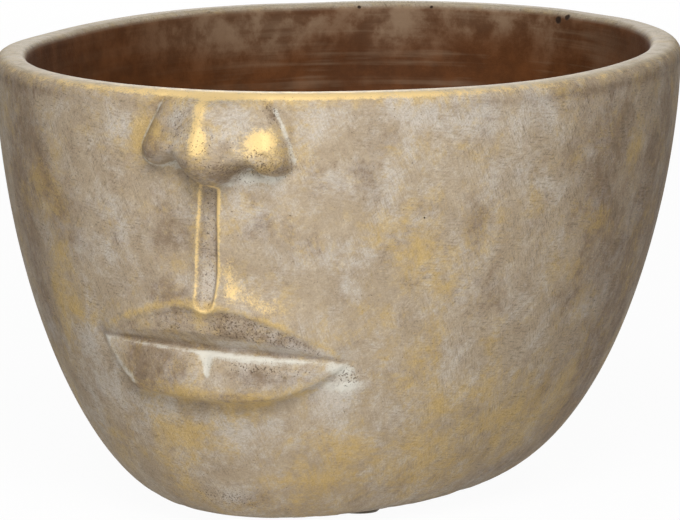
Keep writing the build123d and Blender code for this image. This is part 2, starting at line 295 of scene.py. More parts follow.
class PotRows:
    """Ovals that the skin runs through, from the drain hole out, up, over the rim and down inside."""

    def __init__(self, pot):
        self.pot = pot
        self.height = POT_HIGH.z - POT_LOW.z
        self.centre_y = POT_HIGH.y - pot.rim_depth / 2
        self.rows = []
        drain = (pot.drain_diameter / 2, pot.drain_diameter / 2, pot.base_forward)
        base = (pot.base_width / 2, pot.base_depth / 2, pot.base_forward)
        rim = (pot.rim_width / 2, pot.rim_depth / 2, 0)
        opening = (rim[0] - pot.rim_wall, rim[1] - pot.rim_wall, 0)
        floor = (base[0] - pot.floor_inset, base[1] - pot.floor_inset, pot.base_forward)
        top = self.height
        self.flat("underside", drain, base, 0, np.linspace(0, 1, FLAT_ROWS))
        foot, low, face_low = 10 * MM, 12 * MM, 40 * MM
        self.wall("wall", base, rim, 0, top, foot * np.linspace(0, 1, FOOT_ROWS)[1:] ** 2)
        self.wall("wall", base, rim, 0, top, np.linspace(low, face_low, LOW_ROWS))
        up_face = face_heights(face_low, top - pot.outer_round, pot.face_rows)
        self.wall("wall", base, rim, 0, top, up_face[1:])
        self.edge("rim", rim, pot.outer_round, top, np.linspace(0, 90, OUTER_EDGE_ROWS)[1:], 1)
        self.edge("inner_rim", opening, pot.inner_round, top, np.linspace(90, 0, INNER_EDGE_ROWS), -1)
        down_inside = np.linspace(0, 1, INSIDE_ROWS)[1:] ** GATHERED
        inner = mixed(top - pot.inner_round, pot.floor_thickness, down_inside)
        self.wall("inside", floor, opening, pot.floor_thickness, top, inner[:-1])
        self.flat("inside", floor, drain, pot.floor_thickness, np.linspace(0, 1, FLAT_ROWS))
        self.flat("drain", drain, drain, pot.floor_thickness / 2, np.zeros(1))
        self.rows.append(self.rows[0])

    def add(self, zone, oval, height):
        """One row: its zone, the oval's half width, half depth and forward shift, and its height."""
        self.rows.append(Row(zone, *oval, height))

    def flat(self, zone, first, last, height, shares):
        """Level rows from one oval to another."""
        for share in shares:
            self.add(zone, [mixed(a, b, share) for a, b in zip(first, last)], height)

    def wall(self, zone, low, high, bottom, top, heights):
        """Rows up the swelling wall between two ovals."""
        for height in heights:
            spread = swell((height - bottom) / (top - bottom), self.pot.fullness)
            self.add(zone, [mixed(a, b, spread) for a, b in zip(low, high)], height)

    def edge(self, zone, oval, radius, top, angles, inward):
        """Rows round an edge of the rim, which turns inward (1) or outward (-1) towards its top."""
        for angle in np.radians(angles):
            inset = inward * radius * (1 - math.cos(angle))
            height = top - radius * (1 - math.sin(angle))
            self.add(zone, (oval[0] - inset, oval[1] - inset, oval[2]), height)

    def column(self, name):
        """One value of every row, as a column of an array."""
        return np.array([getattr(row, name) for row in self.rows])[:, None]

    def zone(self, *names):
        """1 on the rows of the named zones and 0 elsewhere, as a column of an array."""
        return np.array([float(row.zone in names) for row in self.rows])[:, None]


class FaceFields:
    """Distances on the face, which leans: across from its axis, height along it, and the lips' lines."""

    def __init__(self, face, across, height):
        rise = height - face.lip_line
        self.across = across * math.cos(face.lean) - rise * math.sin(face.lean)
        self.height = face.lip_line + rise * math.cos(face.lean) + across * math.sin(face.lean)
        self.beside = self.across - face.philtrum_shift
        out = np.clip(np.abs(self.across) / face.mouth_half, 0, 1)
        self.fullness = 1 - out ** 2
        straight = np.clip((self.across + face.mouth_half) / face.blunt_run, 0, 1)
        depth = np.where(self.across < 0, 1 - (1 - straight) ** 1.35, 1 - out ** 2.9)
        self.line = face.lip_line - face.corner_drop * out ** 3
        self.border = self.line + face.upper_lip * (1 - out ** 1.7)
        self.border = self.border - face.bow_dip * hump(self.beside, 5 * MM)
        self.edge = self.line - face.lower_lip * depth
        below_end = np.clip(face.philtrum_end - self.height, 0, None)
        above_top = np.clip(self.height - face.philtrum_top, 0, None)
        belly = 0.7 * MM * hump(self.height - mixed(face.philtrum_end, face.philtrum_top, 0.35), 14 * MM)
        self.philtrum = np.sqrt(self.beside ** 2 + below_end ** 2 + above_top ** 2) - belly


def nose_underside(face, across):
    """Height of the nose's lower edge: the tip hangs lowest, the nostrils arch up, the wings curl up."""
    tip = (face.wing_low - face.tip_low) * hump(across, 0.7 * face.tip_half)
    arch = (face.nostril_height - face.wing_low) * hump(across - face.nostril_place, 3.8 * MM)
    curl = np.clip(across - face.wing_curl, 0, None) ** 2 / (12 * MM)
    return face.wing_low - tip + arch + curl


def nose_share(face, height, rim_height):
    """Share of the way from the rim down to the nose's tip."""
    return np.clip((rim_height - height) / (rim_height - face.tip_height), 0, 1)


def nose_half_width(face, share):
    """From the nose's middle to its crease, at a share of the way from the rim to the tip."""
    return mixed(face.nose_top_half, face.nose_half, share ** 0.75)


def nose_relief(face, fields, rim_height):
    """Reach of the nose: a ridge with straight flanks that swell into the tip and two wings below."""
    across, height = np.abs(fields.across), fields.height
    share = nose_share(face, height, rim_height)
    ridge = mixed(face.nose_reach, face.nose_top_reach, (1 - share) ** 1.3)
    flat = mixed(0.5 * face.ridge_half, face.ridge_half, share)
    down = np.clip((across - flat) / (nose_half_width(face, share) - flat), 0, 1)
    knee = ridge * mixed(face.top_knee, face.wing_knee, share)
    straight = mixed(ridge, knee, down / face.knee_place)
    drop = knee * np.sqrt(1 - np.clip((down - face.knee_place) / (1 - face.knee_place), 0, 1) ** 2)
    flank = np.where(down < face.knee_place, straight, drop)
    above = np.clip(height - nose_underside(face, across), 0, None)
    rise = mixed(face.wing_rise, face.tip_rise, hump(across, 0.75 * face.tip_half))
    rounding = np.sqrt(1 - (1 - np.clip(above / rise, 0, 1)) ** 2)
    groove = face.wing_groove * hump(across - face.groove_place, 3 * MM) * eased(share, 0.55, 0.95)
    reach = np.clip((flank - groove) * rounding, 0, None)
    nostril = np.hypot(across - face.nostril_place, height - face.nostril_height + 1.5 * MM)
    beyond = across - nose_half_width(face, share) - 0.5 * MM
    crease = face.crease_depth * hump(beyond, 1.1 * MM) * eased(height, 138 * MM, 143 * MM)
    return reach - face.nostril_depth * hump(nostril, face.nostril_size) - crease


def philtrum_relief(face, fields):
    """Reach of the philtrum: a channel between two edges, steep inside and gentle outside."""
    beyond = fields.philtrum - face.philtrum_half
    outer = face.philtrum_edge * hump(np.clip(beyond, 0, None), face.philtrum_slope)
    fall = eased(-beyond, 0, 1.6 * MM)
    reach = mixed(outer, -face.philtrum_depth, fall)
    return reach * eased(face.philtrum_top + 4 * MM - fields.height, 0, 6 * MM)


def lip_relief(face, fields):
    """Reach of the mouth, stepped from the skin above it down to the skin below."""
    border, line, edge = fields.border, fields.line, fields.edge
    upper, lower = border - line, line - edge
    steps = [
        (border + face.skin_blend, 0),
        (border + face.bead, face.border_reach),
        (border - face.bead, face.border_reach - face.bead_step),
        (line + 0.42 * upper, face.upper_reach),
        (line + 0.05 * upper, -face.line_depth),
        (line - 0.04 * lower, face.shelf_reach),
    ]
    reach = np.zeros_like(fields.height)
    for index, ((top, before), (bottom, after)) in enumerate(zip(steps, steps[1:])):
        share = np.clip((top - fields.height) / np.maximum(top - bottom, LEAST_LIP), 0, 1)
        share = share ** 2 if index == 0 else share
        reach = reach + (after - before) * share
    down = np.clip((line - fields.height) / np.maximum(lower, LEAST_LIP), 0, 1)
    reach = reach + (face.lower_reach - face.shelf_reach) * np.sin(down * math.pi * 0.62)
    undercut = eased(fields.edge + 1.2 * MM - fields.height, 0, 1.8 * MM)
    reach = mixed(reach, -0.4 * MM * eased(fields.height, edge - 14 * MM, edge), undercut)
    bow = hump(fields.beside - 1 * MM, 1.6 * MM)
    bow = bow * hump(fields.height - line - 0.62 * face.upper_lip, 5 * MM)
    notch_place = (fields.height - line + 0.3 * face.lower_lip) / (0.32 * face.lower_lip)
    notch_half = mixed(1.3 * MM, 3 * MM, np.clip(0.5 + 0.5 * notch_place, 0, 1))
    notch = face.notch_depth * hump(fields.beside, notch_half) * hump(notch_place, 1)
    corner = np.hypot(np.abs(fields.across) - face.mouth_half, fields.height - line)
    dimple = 0.9 * MM * hump(corner, 4 * MM)
    return (reach - face.bow_crease * bow - notch) * fields.fullness ** 0.8 - dimple


def blurred(field, rounds):
    """The field smoothed over neighbouring rows and columns."""
    for _ in range(rounds):
        for axis in (0, 1):
            field = (np.roll(field, 1, axis) + 2 * field + np.roll(field, -1, axis)) / 4
    return field


def wander(points, wave):
    """Slow hand-made wander from -1 to 1 at each point."""
    values = [noise.noise(Vector(point) / wave) for point in points.reshape(-1, 3)]
    return np.array(values).reshape(points.shape[:2])


# Dips of the hand-cast rim: turn round the pot in degrees, half its width in degrees, depth in mm
RIM_DIPS = (
    (58, 24, 0.8),
    (-94, 15, 1.3),
    (-112, 10, 0.3),
    (-152, 8, 0.35),
    (150, 7, 0.3),
)

# Marks on the face: distance across and height on it in mm, half width, half height, strength
GILDED_PLACES = (
    (-4.2, 160, 3.0, 5, 0.75),
    (-3.2, 153, 2.6, 6, 0.55),
    (-2.6, 147, 3.2, 5, 0.55),
    (-1.4, 145, 3.4, 4.5, 0.65),
    (18, 147.5, 5, 4, 0.65),
    (19, 145, 9, 6.5, 0.4),
    (-30, 147, 2.5, 7, 0.3),
    (-7.5, 123, 2.2, 7, 0.3),
    (2.4, 123, 1.2, 5, 0.4),
    (7, 94, 3, 9, 0.5),
    (14, 89, 7, 4, 0.5),
    (23, 85, 7, 3, 0.35),
)
# Duller gold; on the wing turned from the key lamp and under the tip it is painted shade on the gilding
OCHRE_AND_SHADED_GOLD_PLACES = (
    (-21, 146, 5, 6, 1.1),
    (-27, 147, 3, 8, 0.6),
    (-3, 81, 2.6, 5, 1.0),
    (0, 140, 8, 4, 0.7),
    (-1, 134, 8, 3, 0.5),
    (20, 143, 10, 8, 0.7),
    (-31, 144, 3, 8, 1.0),
    (31, 144, 4, 8, 0.4),
    (-1, 150, 7, 12, 0.5),
)
LIME_PLACES = (
    (43.5, 63.5, 4.5, 2.2, 1.0),
    (47, 59, 4, 4, 0.55),
    (42, 57, 7, 2.5, 0.5),
    (46, 55, 6, 3.5, 0.25),
    (12, 132, 4.5, 2.8, 0.8),
    (20, 132.5, 6, 2, 0.7),
    (6, 129.5, 3, 1.4, 0.7),
    (-14, 134, 4, 1.4, 0.6),
    (-13, 152, 5, 8, 0.3),
    (-25, 137, 3, 3, 0.4),
)
UMBER_AND_SHADE_PLACES = (
    (-16, 60, 8, 4, 0.6),
    (18, 61, 12, 3, 0.5),
    (-24, 63, 10, 4, 1.5),
    (-18, 55, 12, 5, 0.6),
    (18, 59, 15, 2.5, 0.8),
    # Brown patina and painted shade on the wing turned from the key lamp
    (-22, 144, 9, 10, 1.3),
    # Painted shade under the nose's tip
    (5, 133.5, 10, 2.5, 0.8),
    (-46, 68, 3, 3, 0.9),
    # Painted shade in the crease beside the nose
    (26, 144, 1.6, 9, 0.9),
    (18, 160, 1.6, 2.5, 1.2),
    (20.5, 156.5, 1.4, 2.5, 1.0),
    # Painted shade under the tip and low on it
    (-2, 131.5, 9, 2.5, 1.6),
    (-2, 136, 8, 3.5, 0.9),
    (-10, 161, 8, 1.5, 0.8),
    (-13, 152, 5, 8, 0.15),
    # Painted shade where the lower lip rounds under
    (5, 51, 22, 1.6, 0.9),
    (8, 143, 5, 5, 0.5),
    # Painted shade in a nostril and under a wing
    (12, 137, 8, 2.5, 0.9),
    (24, 138, 5, 2.5, 0.9),
    (-9, 148, 2.5, 9, 0.25),
)
PALE_PLACES = (
    (-13, 154, 5, 7, 0.7),
    (9, 154, 7, 6, 1.0),
    (14, 130, 10, 4, 0.7),
)
SPECKED_PLACES = (
    (-1, 144, 6, 7, 0.7),
    (10, 136.5, 9, 2.2, 1.2),
    (22, 137.5, 6, 2.2, 1.2),
    (19, 142, 9, 4, 0.8),
    (46.5, 60.5, 3.2, 3.2, 1.5),
    (18, 160, 1.5, 3, 1.3),
    (20.5, 156.5, 1.2, 3, 1.2),
    (18, 62.5, 16, 2.2, 1.2),
    (-22, 63, 9, 3, 0.7),
    (0, 9, 12, 4, 1.2),
    (-12, 152, 6, 9, 0.7),
    (12, 132, 5, 2, 0.9),
)

# Washes over the wall, the golden ones and most pale ones rubbed on by hand: turn in degrees, height in mm,
# half width, half height, strength
OCHRE_WASHES = (
    (38, 102, 18, 15, 0.9),
    (30, 114, 10, 9, 0.3),
    (39, 58, 11, 10, 1.0),
    (25, 28, 14, 10, 0.8),
    (-9, 32, 10, 8, 0.8),
    (8, 96, 10, 10, 0.4),
    (70, 28, 16, 10, 1.0),
    (50, 18, 16, 7, 0.9),
    (-16, 14, 10, 7, 1.0),
    (-38, 75, 8, 14, 0.7),
    (-32, 78, 8, 7, 0.9),
    (-31, 122, 9, 14, 0.6),
    (-36, 98, 10, 18, 0.6),
    (24, 17, 30, 5, 0.7),
    (69, 110, 5, 6, 0.8),
    (65, 86, 9, 8, 0.3),
    (42, 74, 9, 6, 0.2),
    (-44, 114, 5, 6, 0.6),
    (2, 37, 13, 8, 0.7),
    (-16, 36, 10, 9, 0.9),
    (-14, 24, 12, 7, 1.1),
    (60, 34, 16, 12, 1.1),
    (76, 45, 14, 12, 0.7),
    (-38, 127, 8, 9, 0.7),
    (33, 139, 8, 6, 0.3),
    (74, 106, 4, 5, 1.0),
    (70, 90, 4, 4, 1.0),
    (58, 118, 5, 5, 0.8),
    (82, 132, 5, 7, 0.8),
    (45, 45, 14, 10, 0.8),
    (56, 50, 12, 8, 0.7),
    (42, 28, 12, 8, 0.8),
    (90, 88, 8, 12, 0.7),
    (-34, 26, 10, 8, 0.8),
    (112, 48, 18, 14, 0.9),
    (138, 108, 16, 13, 0.8),
    (164, 42, 20, 13, 0.9),
    (-168, 122, 16, 12, 0.8),
    (-142, 68, 18, 14, 0.9),
    (-116, 122, 14, 14, 0.8),
    (-92, 48, 14, 14, 0.9),
    (-74, 104, 10, 12, 0.7),
)
PALE_WASHES = (
    (20, 152, 10, 8, 0.7),
    (22, 130, 9, 7, 0.7),
    (-30, 65, 9, 7, 0.9),
    (-28, 50, 8, 7, 0.9),
    (79, 82, 9, 14, 0.3),
    (33, 126, 8, 6, 0.7),
    (28, 154, 7, 5, 0.6),
    (26, 48, 8, 6, 0.6),
    (-32, 51, 8, 7, 0.6),
    (47, 92, 7, 7, 0.6),
    (-20, 138, 8, 7, 0.5),
    (7, 121, 6, 6, 1.0),
    (-7, 126, 6, 6, 0.4),
    (-17, 102, 13, 12, 0.5),
    (18, 57, 7, 7, 1.0),
    (38, 70, 6, 6, 0.4),
    # Painted light: lightens the nose's flank turned from the key lamp, which lies in shade
    (-3, 147, 5, 7, 0.9),
    (59, 124, 12, 7, 0.5),
    (-19, 118, 9, 9, 0.6),
    (-16, 147, 9, 7, 0.7),
    (-13, 42, 10, 7, 0.8),
    (2, 36, 13, 8, 0.7),
    (48, 150, 14, 8, 0.6),
    (40, 20, 14, 7, 0.6),
    (9, 112, 6, 9, 0.4),
    (41, 154, 13, 8, 1.2),
    (57, 151, 10, 7, 1.0),
    (33, 157, 10, 5, 0.9),
    (23, 52, 9, 7, 1.0),
    (-4, 21, 12, 7, 0.4),
    (0, 11, 8, 4, 1.0),
    (29, 40, 12, 6, 0.5),
    (24, 100, 9, 9, 0.6),
    (122, 128, 16, 11, 0.9),
    (148, 70, 18, 12, 0.8),
    (178, 96, 18, 12, 0.9),
    (-156, 142, 16, 9, 0.8),
    (-128, 38, 18, 11, 0.9),
    (-102, 88, 14, 12, 0.8),
    (-70, 66, 12, 12, 0.7),
)
# Darker patches over the wall, many of them long bands towards the far left and right of the face
DARK_WASHES = (
    (30, 144, 6, 6, 0.8),
    (-40, 142, 9, 12, 1.0),
    (-36, 128, 7, 13, 0.9),
    (74, 140, 16, 16, 1.1),
    (74, 114, 16, 14, 1.0),
    (78, 90, 18, 14, 0.9),
    (94, 120, 20, 34, 1.1),
    (86, 60, 18, 18, 0.9),
    (92, 30, 18, 18, 0.9),
    (74, 10, 22, 7, 0.7),
    (-31, 112, 12, 16, 0.8),
    (-6, 114, 10, 10, 0.4),
    (9, 113, 9, 7, 0.4),
    (52, 84, 9, 9, 0.5),
    (-17, 54, 7, 6, 0.7),
    (6, 9, 9, 5, 1.0),
    (11, 118, 6, 8, 0.4),
    (43, 85, 7, 5, 0.5),
    (-8, 108, 9, 14, 0.6),
    (-8, 88, 10, 6, 1.1),
    (17, 108, 12, 9, 0.4),
    (27, 134, 7, 6, 0.9),
    (10, 80, 8, 5, 0.8),
    (-3, 86, 6, 6, 0.6),
    (-6, 158, 6, 4, 0.9),
    (47, 112, 7, 12, 0.8),
    (70, 77, 9, 8, 0.5),
    (71, 42, 10, 8, 0.6),
    (34, 111, 7, 6, 0.5),
    (7, 50, 9, 5, 0.6),
    (18, 57, 7, 7, 0.3),
    (-17, 102, 13, 12, 0.3),
    (36, 104, 10, 6, 0.4),
    (21, 130, 8, 8, 0.4),
    (64, 132, 6, 6, 0.7),
    (-46, 105, 13, 50, 1.1),
    (94, 95, 18, 60, 0.8),
    (116, 92, 34, 34, 0.8),
    (130, 30, 30, 18, 0.9),
    (136, 140, 34, 13, 0.8),
    (160, 132, 24, 16, 0.7),
    (174, 66, 28, 18, 0.7),
    (-152, 104, 26, 16, 0.8),
    (-126, 84, 26, 22, 0.7),
    (-104, 142, 24, 14, 0.9),
    (-150, 24, 28, 12, 0.8),
    (-84, 84, 20, 34, 0.8),
)

# Dust under the rim inside, given like the washes
DUST_WASHES = (
    (-148, 157, 14, 6, 1.0),
    (-122, 153, 22, 7, 0.9),
    (-140, 150, 16, 7, 0.6),
    (-166, 150, 12, 9, 0.8),
    (176, 156, 24, 5, 0.6),
)


def spot(aside, above, half_width, half_height, strength):
    """Soft spot with its half width and half height in mm, by the distance from its middle."""
    return strength * hump(aside, half_width * MM) * hump(above, half_height * MM)


def nose_creases(face, fields, rim_height):
    """Lines where the nose meets the cheek: up its sides, and under its wings."""
    across, level = np.abs(fields.across), fields.height
    share = nose_share(face, level, rim_height)
    beyond = across - nose_half_width(face, share) - 0.4 * MM
    side = hump(beyond, 0.9 * MM) * eased(level, 137 * MM, 141 * MM) * eased(160 * MM - level, 0, 3 * MM)
    below = hump(level - nose_underside(face, across) + 0.3 * MM, 0.9 * MM) * (across < face.nose_half)
    return side, below * eased(across, 10 * MM, 14 * MM)


class FaceMarks:
    """How the finish changes on the face, by its own left and right: gold, lime, specks and washes, some of
    them painted shade.
    """

    def __init__(self, face, fields, rim_height):
        self.face, self.fields = face, fields
        self.across, self.level = fields.across, fields.height
        self.lips = fields.fullness ** 0.5 * (np.abs(fields.across) < face.mouth_half)
        self.own_left = eased(self.across, -2 * MM, 8 * MM)
        self.own_right = eased(-self.across, -6 * MM, 2 * MM)
        self.below_line = fields.line - fields.height
        self.above_border = fields.height - fields.border
        self.upper = np.maximum(fields.border - fields.line, LEAST_LIP)
        self.lower = np.maximum(fields.line - fields.edge, LEAST_LIP)
        self.side, self.below = nose_creases(face, fields, rim_height)
        self.channel = eased(face.philtrum_half - fields.philtrum, 0, 1.5 * MM)

    def at(self, places):
        """Sum of soft spots at the places of a list."""
        total = 0
        for place, up, *form in places:
            total = total + spot(self.across - place * MM, self.level - up * MM, *form)
        return total

    def upper_face(self):
        """The upper lip from its fold up to its border."""
        line = self.fields.line
        fold = eased(self.level, line + 0.3 * self.upper, line + 0.45 * self.upper)
        return fold * eased(-self.above_border, 0, 1.2 * MM) * self.lips

    def gold(self):
        """Bright gold on the ridge, the tip, a wing and the philtrum's edges."""
        edges = hump(self.fields.philtrum - self.face.philtrum_half - 0.2 * MM, 0.8 * MM)
        edges = 0.68 * edges * eased(self.face.tip_height - 9 * MM - self.level, 0, 3 * MM)
        return self.at(GILDED_PLACES) + edges

    def ochre(self):
        """Duller gold along the upper lip's border and low on the lower lip, which paints the gilding in
        shade there, as on the wing turned from the key lamp and under the tip.
        """
        border = self.own_right * hump(self.above_border - 2.2 * MM, 1.6 * MM)
        border = (border + self.own_left * hump(self.above_border - 0.9 * MM, 1.4 * MM)) * self.lips
        under = hump(self.level - self.fields.edge - 0.14 * self.lower, 0.2 * self.lower)
        under = under * self.lips * eased(self.across, -36 * MM, -8 * MM)
        return 1.2 * border + 1.2 * under + self.at(OCHRE_AND_SHADED_GOLD_PLACES)

    def lime(self):
        """Lime in the line between the lips, in the notch, at the mouth's ends and round the nose."""
        line = (0.6 + 0.25 * self.own_left) * hump(self.below_line - 0.9 * MM, 0.75 * MM)
        right_end = eased(-self.across, 34 * MM, 44 * MM)
        line = line + 0.3 * hump(self.below_line - 0.9 * MM, 0.9 * MM) * right_end
        shelf = 0.55 * hump(self.below_line - 2.3 * MM, 1.3 * MM) * self.own_left
        shelf = shelf * (1 - 0.7 * eased(self.across, 26 * MM, 42 * MM))
        narrowing = np.clip(self.below_line / (10 * MM), 0, 1)
        notch = hump(self.across + 1.2 * MM - narrowing * MM, mixed(3.6, 1.1, narrowing) * MM)
        notch = notch * eased(11 * MM - self.below_line, 0, 3 * MM) * eased(self.below_line, 0, MM)
        end = hump(self.level - self.fields.edge - 2.8 * MM, 2.2 * MM)
        end = end * eased(-self.across, 26 * MM, 32 * MM)
        end = 0.5 * end * (self.across > -self.face.mouth_half) * eased(self.below_line, -1 * MM, 1 * MM)
        return (line + shelf + notch) * self.lips + end + self.at(LIME_PLACES) + self.nose_lime()

    def nose_lime(self):
        """Lime in the creases beside the nose, most of it beside its left wing."""
        return (0.55 + 0.2 * self.own_left) * self.side + 0.5 * self.below

    def umber(self):
        """Dark patina on the upper lip and in hollows, and painted shade along the line between the lips
        and round the nose.
        """
        lip = (0.5 + 0.7 * self.own_left) * self.upper_face()
        # Painted shade in the deep crease just above the lip line, under the upper lip
        lip = lip + 1.3 * hump(self.below_line + 0.7 * MM, 0.8 * MM) * self.lips
        return lip + 0.7 * self.channel * eased(self.level, 90 * MM, 112 * MM) + self.at(UMBER_AND_SHADE_PLACES)

    def pale(self):
        """Pale patina in the philtrum, low on the upper lip and on the nose's flanks."""
        facet = hump(self.below_line + 3 * MM, 2 * MM) * self.lips * self.own_left
        return 0.5 * self.channel + 1.5 * facet + self.at(PALE_PLACES)

    def specks(self):
        """Dark specks along the nose's lower edge, on the upper lip and in the philtrum."""
        lip = (0.5 + 0.6 * self.own_left) * self.upper_face()
        return lip + 0.6 * self.channel + 0.5 * self.below + 0.4 * self.side + self.at(SPECKED_PLACES)


class PotSkin:
    """Grid of the pot's points, and the masks that its finish is painted by."""

    def __init__(self, pot, face):
        rows = PotRows(pot)
        self.angles = column_angles(pot.columns)[None, :]
        half_width, half_depth = rows.column("half_width"), rows.column("half_depth")
        middle_y = rows.centre_y - rows.column("forward")
        across = half_width * np.sin(self.angles)
        along = middle_y - half_depth * np.cos(self.angles)
        height = rows.column("height") + np.zeros_like(across)
        outside = rows.zone(*OUTSIDE)
        below_edge = eased(rows.height - height, 0, pot.outer_round)
        front = eased(np.cos(self.angles), 0.35, 0.6) * outside * below_edge
        fields = FaceFields(face, across, height)
        relief = nose_relief(face, fields, rows.height)
        relief = relief + philtrum_relief(face, fields) + lip_relief(face, fields)
        along = along - blurred(relief, 1) * front
        self.points = np.stack([across, along, height + POT_LOW.z], axis=-1)
        self.cast_by_hand(pot, rows, outside)
        self.masks = self.painted(face, fields, front, rows, height)
        self.around = self.angles * pot.rim_depth / 2 + np.zeros_like(across)
        steps = np.hypot(np.diff(half_width, axis=0), np.diff(rows.column("height"), axis=0))
        self.up = np.concatenate([np.zeros((1, 1)), np.cumsum(steps, axis=0)]) + np.zeros_like(across)

    def cast_by_hand(self, pot, rows, outside):
        """Lets the wall, the rim and the base's edge wander inwards from their true form."""
        slow = wander(self.points, pot.wave) + 0.4 * wander(self.points, 0.4 * pot.wave)
        drawn_in = pot.unevenness * (0.7 - slow) / 2
        centre = np.array([0, rows.centre_y])
        flat = self.points[..., :2] - centre
        radius = np.linalg.norm(flat, axis=-1, keepdims=True)
        level = rows.zone("underside", "drain")
        room = eased(radius, pot.level_floor, 1.5 * pot.level_floor) * (1 - level)[..., None]
        self.points[..., :2] -= flat / radius * (np.clip(drawn_in, 0, None)[..., None] * room)
        near_rim = eased(self.points[..., 2], POT_HIGH.z - 30 * MM, POT_HIGH.z)
        along_rim = wander(self.points * [1, 1, 0], 1.6 * pot.wave)
        dip = np.clip(pot.rim_wander * (0.6 - along_rim) / 1.2, 0, None)
        for turned, half_turn, depth in RIM_DIPS:
            dip = dip + depth * MM * hump(self.angles - math.radians(turned), math.radians(half_turn))
        self.points[..., 2] -= dip * near_rim
        worn = eased(8 * MM - (self.points[..., 2] - POT_LOW.z), 0, 8 * MM) * outside
        chips = np.clip(wander(self.points * [1, 1, 0.3], 6 * MM), 0, 1) + 0.5 * np.clip(slow, 0, 1)
        self.points[..., 2] += pot.base_wear * chips * worn

    def washed(self, washes, rows, height):
        """Sum of washes over the wall."""
        radius = (rows.column("half_width") + rows.column("half_depth")) / 2
        total = np.zeros_like(height)
        for turned, up, *form in washes:
            total = total + spot((self.angles - math.radians(turned)) * radius, height - up * MM, *form)
        return total

    def painted(self, face, fields, front, rows, height):
        """Masks of the finish: the face's marks with their painted shade, the wall's washes, the gilded
        rim, the bare inside.
        """
        marks = FaceMarks(face, fields, rows.height)
        below_rim = rows.height - height
        rim_front = hump(self.angles - math.radians(12), math.radians(36))
        edge_rows = rows.zone("rim", "wall")
        rim_glow = (0.3 + 0.7 * rim_front) * hump(below_rim - 1.2 * MM, 1.05 * MM) * edge_rows
        rim_top = rows.zone("rim", "inner_rim") * eased(1.2 * MM - below_rim, 0, 0.9 * MM)
        gilding = marks.gold() * front + rim_glow + 0.4 * rim_front * rim_top
        rim_wash = (0.25 + 0.4 * rim_front) * hump(below_rim - 3 * MM, 2.6 * MM) * edge_rows
        worn_edge = 0.7 * hump(below_rim - 5.5 * MM, 2.2 * MM) * edge_rows * (1 - rim_front)
        outside = rows.zone(*OUTSIDE)
        inner_edge = rows.zone("inner_rim") * eased(below_rim, 1.0 * MM, 2.2 * MM)
        dark, ochre, pale, dust = (
            self.washed(washes, rows, height)
            for washes in (DARK_WASHES, OCHRE_WASHES, PALE_WASHES, DUST_WASHES)
        )
        masks = {
            "gilding": gilding,
            "lime": marks.lime() * front,
            # The masks of dark patina and of ochre carry painted shade on the face as well as the washes
            "umber": (marks.umber() * front + worn_edge + dark) * outside,
            "ochre": (marks.ochre() * front + rim_wash + ochre) * outside,
            "pale": (marks.pale() * front + pale) * outside,
            "specks": marks.specks() * front,
            "inside": rows.zone("inside", "drain") + inner_edge,
            "rim_top": rim_top * (0.45 + 0.55 * rim_front),
            "grit": 1 - hump(self.angles - math.radians(18), math.radians(34)),
            "dust": dust * rows.zone("inside"),
            "strokes": eased(math.pi - np.abs(self.angles), 0.02, 0.16),
        }
        return {name: np.clip(mask + np.zeros_like(height), 0, 1) for name, mask in masks.items()}


# Materials

class Made:
    """Value made by a shader's nodes, which adds and multiplies like a number."""

    def __init__(self, tree, socket):
        self.tree, self.socket = tree, socket

    def joined(self, operation, first, second=0.0):
        """Arithmetic of two values."""
        return made(self.tree, "ShaderNodeMath", 0, {0: first, 1: second}, operation=operation)

    def __add__(self, other):
        return self.joined("ADD", self, other)

    def __sub__(self, other):
        return self.joined("SUBTRACT", self, other)

    def __rsub__(self, other):
        return self.joined("SUBTRACT", other, self)

    def __mul__(self, other):
        return self.joined("MULTIPLY", self, other)

    __radd__, __rmul__ = __add__, __mul__

    def greatest(self, other):
        """The greater of two values."""
        return self.joined("MAXIMUM", self, other)

    def ramp(self, low, high, start=0.0, end=1.0):
        """Smooth step between two levels."""
        inputs = {"Value": self, "From Min": low, "From Max": high, "To Min": start, "To Max": end}
        return made(self.tree, "ShaderNodeMapRange", "Result", inputs, interpolation_type="SMOOTHSTEP")


def fill(tree, socket, value):
    """Links an input to a node's output, or sets it to a plain value, with colours made opaque."""
    source = value.socket if isinstance(value, Made) else value
    if isinstance(source, bpy.types.NodeSocket):
        tree.links.new(source, socket)
    elif socket.type == "RGBA":
        socket.default_value = (*source, 1.0)
    else:
        socket.default_value = source


def add(tree, kind, inputs, **settings):
    """Adds a node with its settings and inputs."""
    node = tree.nodes.new(kind)
    for name, value in settings.items():
        setattr(node, name, value)
    for name, value in inputs.items():
        fill(tree, node.inputs[name], value)
    return node


def made(tree, kind, output, inputs, **settings):
    """Adds a node and gives one of its outputs."""
    return Made(tree, add(tree, kind, inputs, **settings).outputs[output])


def grain(place, scale, detail=4.0, roughness=0.55, distortion=0.0):
    """Cloudy noise at a place, with so many clouds to the metre."""
    inputs = {"Vector": place, "Scale": scale, "Detail": detail, "Roughness": roughness}
    return made(place.tree, "ShaderNodeTexNoise", "Fac", {**inputs, "Distortion": distortion})


def moved(place, scale=(1, 1, 1), shift=(0, 0, 0), turned=0.0):
    """The place shifted, turned about its third axis and stretched."""
    inputs = {"Vector": place, "Angle": turned}
    turned_place = made(place.tree, "ShaderNodeVectorRotate", "Vector", inputs, rotation_type="Z_AXIS")
    inputs = {"Vector": turned_place, "Location": shift, "Scale": scale}
    return made(place.tree, "ShaderNodeMapping", "Vector", inputs)


def blend(factor, first, second, mode="MIX"):
    """Blend of two colours by a factor."""
    tree = next(value.tree for value in (factor, first, second) if isinstance(value, Made))
    inputs = {0: factor, 6: first, 7: second}
    return made(tree, "ShaderNodeMix", 2, inputs, data_type="RGBA", blend_type=mode)


